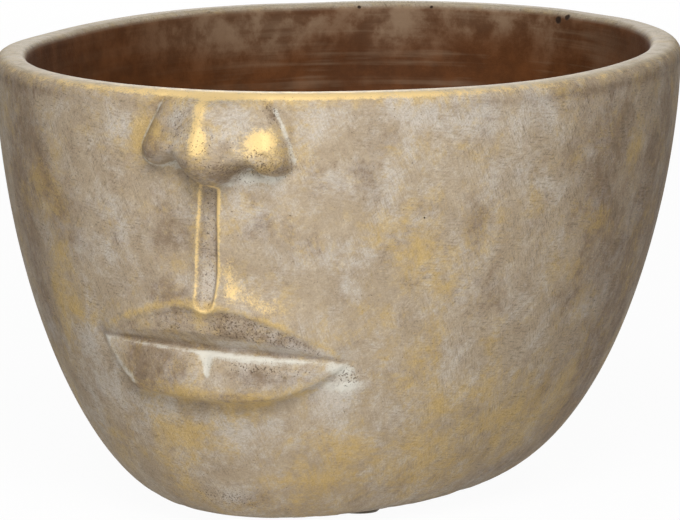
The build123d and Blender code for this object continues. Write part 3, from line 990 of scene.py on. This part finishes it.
def layered(colour, layers):
    """Colours laid one over the other, each by its share."""
    for share, tone in layers:
        colour = blend(share, colour, tone)
    return colour


def painted_mask(tree, name):
    """Mask that is kept on the piece's points."""
    return made(tree, "ShaderNodeAttribute", "Fac", {}, attribute_name=name)


def new_material(name):
    """Empty material with its shader and output joined, and the place on the piece."""
    material = bpy.data.materials.new(name)
    material.use_nodes = True
    tree = material.node_tree
    tree.nodes.clear()
    shader = add(tree, "ShaderNodeBsdfPrincipled", {})
    add(tree, "ShaderNodeOutputMaterial", {"Surface": shader.outputs[0]})
    return material, shader, made(tree, "ShaderNodeTexCoord", "Object", {})


def finish_shader(tree, shader, colour, roughness, relief, strength, height):
    """Gives a shader its colour, its roughness and its small relief."""
    fill(tree, shader.inputs["Base Color"], colour)
    fill(tree, shader.inputs["Roughness"], roughness)
    inputs = {"Strength": strength, "Distance": height, "Height": relief}
    fill(tree, shader.inputs["Normal"], made(tree, "ShaderNodeBump", "Normal", inputs))


# Air-bubble pits on the inner wall and the rim, in the pot's frame, and their radius in mm
BUBBLE_PITS = (
    (48.9, 136.7, 163.1, 1.7),
    (44.7, 138.7, 161.5, 1.9),
    (-10.7, 150.3, 163.4, 0.8),
    (-37.9, 142.6, 163.2, 0.9),
    (72.9, -113.5, 118.7, 0.45),
)

# Directions of the brush on the wall in degrees: nearly level, steep, and across both
BRUSH_TURNS = (6, 64, -38)

# Clouds to the metre in the beige, pale, dark and golden washes
WASH_CLOUDS = (44, 62, 76, 58)


def pit_mask(place):
    """1 in the middle of each air-bubble pit, falling to 0 at its edge."""
    mask = 0.0
    for x, y, z, radius in BUBBLE_PITS:
        inputs = {0: place, 1: (x * MM, y * MM, z * MM)}
        away = made(place.tree, "ShaderNodeVectorMath", "Value", inputs, operation="DISTANCE")
        mask = away.ramp(0.5 * radius * MM, radius * MM, 1.0, 0.0).greatest(mask)
    return mask


def speck_mask(place):
    """Fine dark specks, few on the open wall and many where the specks are painted."""
    dots = grain(moved(place, shift=(9, 2, 5)), 1500, 2, 0.5)
    return (dots + 0.14 * painted_mask(place.tree, "specks")).ramp(0.66, 0.78)


def brush_marks(tree, along, across):
    """Marks of a dry brush that cross each other on the wall, from -0.5 to 0.5 and mostly near 0."""
    sheet = made(tree, "ShaderNodeUVMap", "UV", {}, uv_map="unrolled")
    marks = []
    for angle in BRUSH_TURNS:
        stretched = moved(sheet, (along, across, 1), (angle, across, 0), math.radians(angle))
        marks.append(grain(stretched, 1.0, 4.0, 0.6, 0.1))
    level, steep, crossing = marks
    regions = grain(moved(sheet, shift=(across, 0, 0)), 60, 2, 0.5)
    crossed = blend(0.35, blend(regions.ramp(0.42, 0.58), level, steep), crossing)
    return painted_mask(tree, "strokes") * (crossed - 0.5)


def patina_colour(place, strokes, scrub, fine, coarse, finish):
    """Beige wash over a brown coat, with dark, pale and golden washes rubbed over it, and scratches; the
    dark and golden layers also carry painted shade on the face, the pale one painted light on a flank of
    the nose.
    """
    umber, pale, ochre, grit = (
        painted_mask(place.tree, name) for name in ("umber", "pale", "ochre", "grit")
    )
    clouds = []
    for step, scale in enumerate(WASH_CLOUDS):
        clouds.append(grain(moved(place, shift=(step, 3 * step, 7 * step)), scale, 10, 0.78, 0.3))
    beige_wash, pale_wash, dark_wash, golden_wash = clouds
    beige_wash = beige_wash + 0.3 * scrub
    dark_wash = dark_wash + 0.23 * umber + 0.45 * scrub - 0.22 * coarse
    pale_wash = pale_wash + 0.15 * pale + 0.5 * strokes + 0.15 * coarse
    golden_wash = golden_wash + 0.17 * ochre - 0.55 * scrub + 0.1 * coarse
    scratched = strokes + 0.07 * umber + 0.065 * grit
    colour = layered(finish.undercoat, (
        (beige_wash.ramp(0.18, 0.79), finish.patina),
        (dark_wash.ramp(0.48, 0.86, 0, 0.78), finish.umber),
        (pale_wash.ramp(0.44, 0.74, 0, 0.55), finish.bloom),
        (golden_wash.ramp(0.48, 0.77, 0, 0.76), finish.ochre),
        (scratched.ramp(0.05, 0.2, 0, 0.6), finish.umber),
    ))
    shade = 1.0 + (0.5 + 2.6 * grit) * strokes + 0.35 * scrub + (0.8 + 0.3 * grit) * fine
    return blend(1.0, colour, shade, "MULTIPLY")


def inner_wall_colour(place, finish):
    """Bare brown cement with level streaks where it was trowelled, and dust under the rim."""
    tree = place.tree
    parts = add(tree, "ShaderNodeSeparateXYZ", {"Vector": place})
    side, level = Made(tree, parts.outputs["X"]), Made(tree, parts.outputs["Z"])
    aside = side.joined("ABSOLUTE", side)
    level_streaks = grain(moved(place, (9, 9, 330)), 1.0, 4, 0.6, 0.1)
    patches = grain(moved(place, shift=(5, 3, 3)), 17, 4, 0.6, 0.4)
    mottled = grain(place, 75, 5, 0.65).ramp(0.3, 0.75)
    streaks = (patches + 0.7 * level_streaks).ramp(0.82, 1.06)
    streaks = streaks * aside.ramp(40 * MM, 100 * MM, 0.42, 0.07)
    wavy = level + 34 * MM * (patches - 0.5) + 5 * MM * (mottled - 0.5)
    wavy = wavy + 12 * MM * painted_mask(tree, "dust")
    worn = patches + 1.2 * (mottled - 0.5)
    dusty = wavy.ramp(POT_HIGH.z - 24 * MM, POT_HIGH.z + 8 * MM) * worn.ramp(0.05, 0.95, 0.2, 0.9)
    dusty = dusty * aside.greatest(1.8 * side).ramp(70 * MM, 112 * MM, 1.0, 0.1)
    damp = [0.55 * part for part in finish.inside]
    return layered(damp, (
        (mottled, finish.inside),
        (streaks, finish.inside_dust),
        (dusty, finish.inside_dust),
    ))


def cement_material(finish):
    """Cast cement: a patina of washes, dry-brushed gold on what is raised, lime in creases, bare inside."""
    material, shader, place = new_material("cement_patina")
    tree = place.tree
    lime, rim_top, gilding, inside = (
        painted_mask(tree, name) for name in ("lime", "rim_top", "gilding", "inside")
    )
    specks, pits = speck_mask(place), pit_mask(place)
    strokes = brush_marks(tree, along=200, across=1400)
    scrub = brush_marks(tree, along=150, across=640)
    fine = grain(place, 1500, 4, 0.7) - 0.5
    coarse = grain(moved(place, shift=(2, 2, 9)), 210, 5, 0.65) - 0.5
    lime = (lime + 1.3 * coarse + 0.6 * fine).ramp(0.2, 0.9)
    gilding = (gilding + 0.9 * scrub + 1.1 * coarse + 1.2 * fine).ramp(0.2, 0.85) * (1.0 - inside)
    colour = layered(patina_colour(place, strokes, scrub, fine, coarse, finish), (
        (0.85 * lime, finish.lime),
        (rim_top * coarse.ramp(-0.2, 0.1, 0.45, 0.95), finish.rim),
        (0.9 * gilding, finish.gold),
        (0.7 * specks, finish.speck),
        (inside, inner_wall_colour(place, finish)),
        (pits, finish.pit),
    ))
    roughness = 0.7 + 0.25 * fine - 0.12 * gilding
    relief = 0.45 * coarse + 0.25 * fine + 0.35 * strokes - 2.0 * pits - 0.35 * specks
    relief = relief + 0.6 * lime * (coarse + 0.5)
    finish_shader(tree, shader, colour, roughness, relief, strength=0.5, height=0.8 * MM)
    fill(tree, shader.inputs["Metallic"], 0.25 * gilding)
    fill(tree, shader.inputs["Specular IOR Level"], 0.14)
    return material


def rubber_material(name, colour, grain_scale):
    """Matt moulded rubber: a dusty bloom, fine grain and slight gloss on its worn patches."""
    material, shader, place = new_material(name)
    bloom = grain(place, 0.2 * grain_scale, 5, 0.6)
    dusty = [min(1.0, 1.9 * part + 0.012) for part in colour]
    shade = blend(bloom.ramp(0.42, 0.72, 0, 0.6), colour, dusty)
    roughness = bloom.ramp(0.3, 0.7, 0.5, 0.78)
    relief = grain(place, grain_scale, 3, 0.6)
    finish_shader(place.tree, shader, shade, roughness, relief, strength=0.3, height=0.15 * MM)
    return material


def seen_rays(tree):
    """1 for rays that show the surroundings: straight from the camera, mirrored or through glass."""
    path = add(tree, "ShaderNodeLightPath", {})
    seen = Made(tree, path.outputs["Is Camera Ray"])
    for kind in ("Is Glossy Ray", "Is Transmission Ray"):
        seen = seen.greatest(path.outputs[kind])
    return seen


def floor_material(stage):
    """White floor that keeps the shadow of what stands on it."""
    material, shader, place = new_material("studio_floor")
    tree = place.tree
    fill(tree, shader.inputs["Base Color"], blend(grain(place, 3, 2), FLOOR_GREY, FLOOR_PALE))
    fill(tree, shader.inputs["Roughness"], 0.9)
    fill(tree, shader.inputs["Specular IOR Level"], 0.0)
    white = add(tree, "ShaderNodeEmission", {"Color": WHITE, "Strength": 1.0})
    share = stage.floor_white * seen_rays(tree)
    mix = add(tree, "ShaderNodeMixShader", {0: share, 1: shader.outputs[0], 2: white.outputs[0]})
    output = next(node for node in tree.nodes if node.type == "OUTPUT_MATERIAL")
    fill(tree, output.inputs["Surface"], mix.outputs[0])
    return material


# Operators

def dress(node_name, material):
    """Gives a CAD node its material."""
    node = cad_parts[node_name]
    node.data.materials.clear()
    node.data.materials.append(material)


def set_round(context, data, target, azimuth, elevation, distance):
    """Camera or lamp that looks at a target from a turn round it, a height and a distance."""
    level = math.cos(elevation)
    back = Vector((math.sin(azimuth) * level, -math.cos(azimuth) * level, math.sin(elevation)))
    item = bpy.data.objects.new(data.name, data)
    item.location = target + back * distance
    item.rotation_euler = (-back).to_track_quat("-Z", "Y").to_euler()
    context.scene.collection.objects.link(item)
    return item


class PLANTER_OT_stage(bpy.types.Operator):
    """Makes the camera, the lamps, the surroundings and the floor"""

    bl_idname = "planter.stage"
    bl_label = "Build the stage"

    def execute(self, context):
        stage = context.scene.planter_stage
        context.scene.view_settings.view_transform = "Standard"
        self.camera(context, stage)
        self.lamps(context, stage)
        self.surroundings(context, stage)
        self.floor(context, stage)
        return {"FINISHED"}

    def camera(self, context, stage):
        """Camera at the height and turn of a front view from the pot's left."""
        rim_middle = POT_HIGH.y - context.scene.planter_pot.rim_depth / 2
        target = Vector((0, rim_middle, stage.aim_height))
        data = bpy.data.cameras.new("camera")
        data.lens = stage.lens
        data.sensor_width = SENSOR_WIDTH
        data.clip_end = CLIP_END
        camera = set_round(context, data, target, stage.azimuth, stage.elevation, stage.distance)
        context.scene.camera = camera

    def lamps(self, context, stage):
        """Large soft key lamp high in front, a weaker one below it and one behind."""
        middle = Vector((0, 0, (POT_LOW.z + POT_HIGH.z) / 2))
        for name, (azimuth, elevation, distance, size, share) in LAMPS.items():
            data = bpy.data.lights.new(name, "AREA")
            data.energy = share * stage.key_power
            data.size = size
            set_round(context, data, middle, math.radians(azimuth), math.radians(elevation), distance)

    def surroundings(self, context, stage):
        """Even light from all round, seen as white."""
        world = bpy.data.worlds.new("studio")
        world.use_nodes = True
        tree = world.node_tree
        tree.nodes.clear()
        light = add(tree, "ShaderNodeBackground", {"Color": WHITE, "Strength": stage.fill_level})
        white = add(tree, "ShaderNodeBackground", {"Color": WHITE, "Strength": 1.0})
        inputs = {0: seen_rays(tree), 1: light.outputs[0], 2: white.outputs[0]}
        mix = add(tree, "ShaderNodeMixShader", inputs)
        add(tree, "ShaderNodeOutputWorld", {"Surface": mix.outputs[0]})
        context.scene.world = world

    def floor(self, context, stage):
        """Level floor under the pads."""
        mesh = bmesh.new()
        bmesh.ops.create_grid(mesh, x_segments=4, y_segments=4, size=stage.floor_size / 2)
        data = bpy.data.meshes.new("floor")
        mesh.to_mesh(data)
        mesh.free()
        floor = bpy.data.objects.new("floor", data)
        floor.location = (0, 0, CAD_LOW.z)
        data.materials.append(floor_material(stage))
        context.scene.collection.objects.link(floor)


class PLANTER_OT_pot(bpy.types.Operator):
    """Rolls a sheet into the pot's skin, raises the face on it and paints it"""

    bl_idname = "planter.pot"
    bl_label = "Build the pot"

    def execute(self, context):
        pot, face = context.scene.planter_pot, context.scene.planter_face
        skin = PotSkin(pot, face)
        rows, columns = skin.points.shape[:2]
        sheet = bmesh.new()
        bmesh.ops.create_grid(sheet, x_segments=columns - 1, y_segments=rows - 1, size=1)
        data = bpy.data.meshes.new("pot")
        sheet.to_mesh(data)
        sheet.free()
        self.roll(data, skin, rows, columns)
        self.weld(data)
        piece = bpy.data.objects.new("pot", data)
        context.scene.collection.objects.link(piece)
        data.materials.append(cement_material(context.scene.planter_finish))
        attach(piece, "pot")
        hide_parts("pot_body")
        return {"FINISHED"}

    def roll(self, data, skin, rows, columns):
        """Moves each point of the flat sheet to its row and column of the skin, with masks and a map."""
        flat = np.empty(len(data.vertices) * 3)
        data.vertices.foreach_get("co", flat)
        flat = flat.reshape(-1, 3)
        column = np.rint((flat[:, 0] + 1) / 2 * (columns - 1)).astype(int)
        row = np.rint((flat[:, 1] + 1) / 2 * (rows - 1)).astype(int)
        data.vertices.foreach_set("co", skin.points[row, column].ravel())
        for name, mask in skin.masks.items():
            layer = data.attributes.new(name, "FLOAT", "POINT")
            layer.data.foreach_set("value", mask[row, column])
        corners = np.empty(len(data.loops), dtype=np.int32)
        data.loops.foreach_get("vertex_index", corners)
        unrolled = np.stack([skin.around[row, column], skin.up[row, column]], axis=-1)[corners]
        data.uv_layers.new(name="unrolled").data.foreach_set("uv", unrolled.ravel())

    def weld(self, data):
        """Joins the rolled sheet's edges, so that the skin is closed, and turns its faces outwards."""
        skin = bmesh.new()
        skin.from_mesh(data)
        bmesh.ops.remove_doubles(skin, verts=skin.verts, dist=0.001 * MM)
        bmesh.ops.recalc_face_normals(skin, faces=skin.faces)
        for face in skin.faces:
            face.smooth = True
        open_edges = [edge for edge in skin.edges if not edge.is_manifold]
        if open_edges:
            raise RuntimeError(f"the pot's skin has {len(open_edges)} open edges")
        skin.to_mesh(data)
        skin.free()


class PLANTER_OT_plug(bpy.types.Operator):
    """Gives the drain plug its rubber"""

    bl_idname = "planter.plug"
    bl_label = "Finish the drain plug"

    def execute(self, context):
        material = rubber_material("plug_rubber", context.scene.planter_finish.rubber, grain_scale=1400)
        dress("drain_plug", material)
        return {"FINISHED"}


class PLANTER_OT_pads(bpy.types.Operator):
    """Gives the pads under the base their rubber"""

    bl_idname = "planter.pads"
    bl_label = "Finish the pads"

    def execute(self, context):
        material = rubber_material("pad_rubber", context.scene.planter_finish.pad, grain_scale=2200)
        for node_name in PAD_NODES:
            dress(node_name, material)
        return {"FINISHED"}


class PLANTER_PT_panel(bpy.types.Panel):
    """Lists the operators and their sizes and colours"""

    bl_idname = "PLANTER_PT_panel"
    bl_label = "Head planter"
    bl_space_type = "VIEW_3D"
    bl_region_type = "UI"
    bl_category = "Planter"

    def draw(self, context):
        for operator in (PLANTER_OT_stage, PLANTER_OT_pot, PLANTER_OT_plug, PLANTER_OT_pads):
            self.layout.operator(operator.bl_idname)
        for name in SETTINGS:
            group = getattr(context.scene, name)
            box = self.layout.box()
            for key in group.__annotations__:
                box.prop(group, key)


SETTINGS = {
    "planter_pot": PotShape,
    "planter_face": FaceShape,
    "planter_finish": PotFinish,
    "planter_stage": StageSettings,
}
CLASSES = (
    *SETTINGS.values(),
    PLANTER_OT_stage,
    PLANTER_OT_pot,
    PLANTER_OT_plug,
    PLANTER_OT_pads,
    PLANTER_PT_panel,
)


def register():
    """Registers the classes and puts the settings on the scene."""
    for kind in CLASSES:
        bpy.utils.register_class(kind)
    for name, group in SETTINGS.items():
        setattr(bpy.types.Scene, name, PointerProperty(type=group))


def unregister():
    """Takes the settings and the classes away again."""
    for name in SETTINGS:
        delattr(bpy.types.Scene, name)
    for kind in reversed(CLASSES):
        bpy.utils.unregister_class(kind)


def main():
    register()
    bpy.ops.planter.stage()
    bpy.ops.planter.pot()
    bpy.ops.planter.plug()
    bpy.ops.planter.pads()


if __name__ == "__main__":
    main()
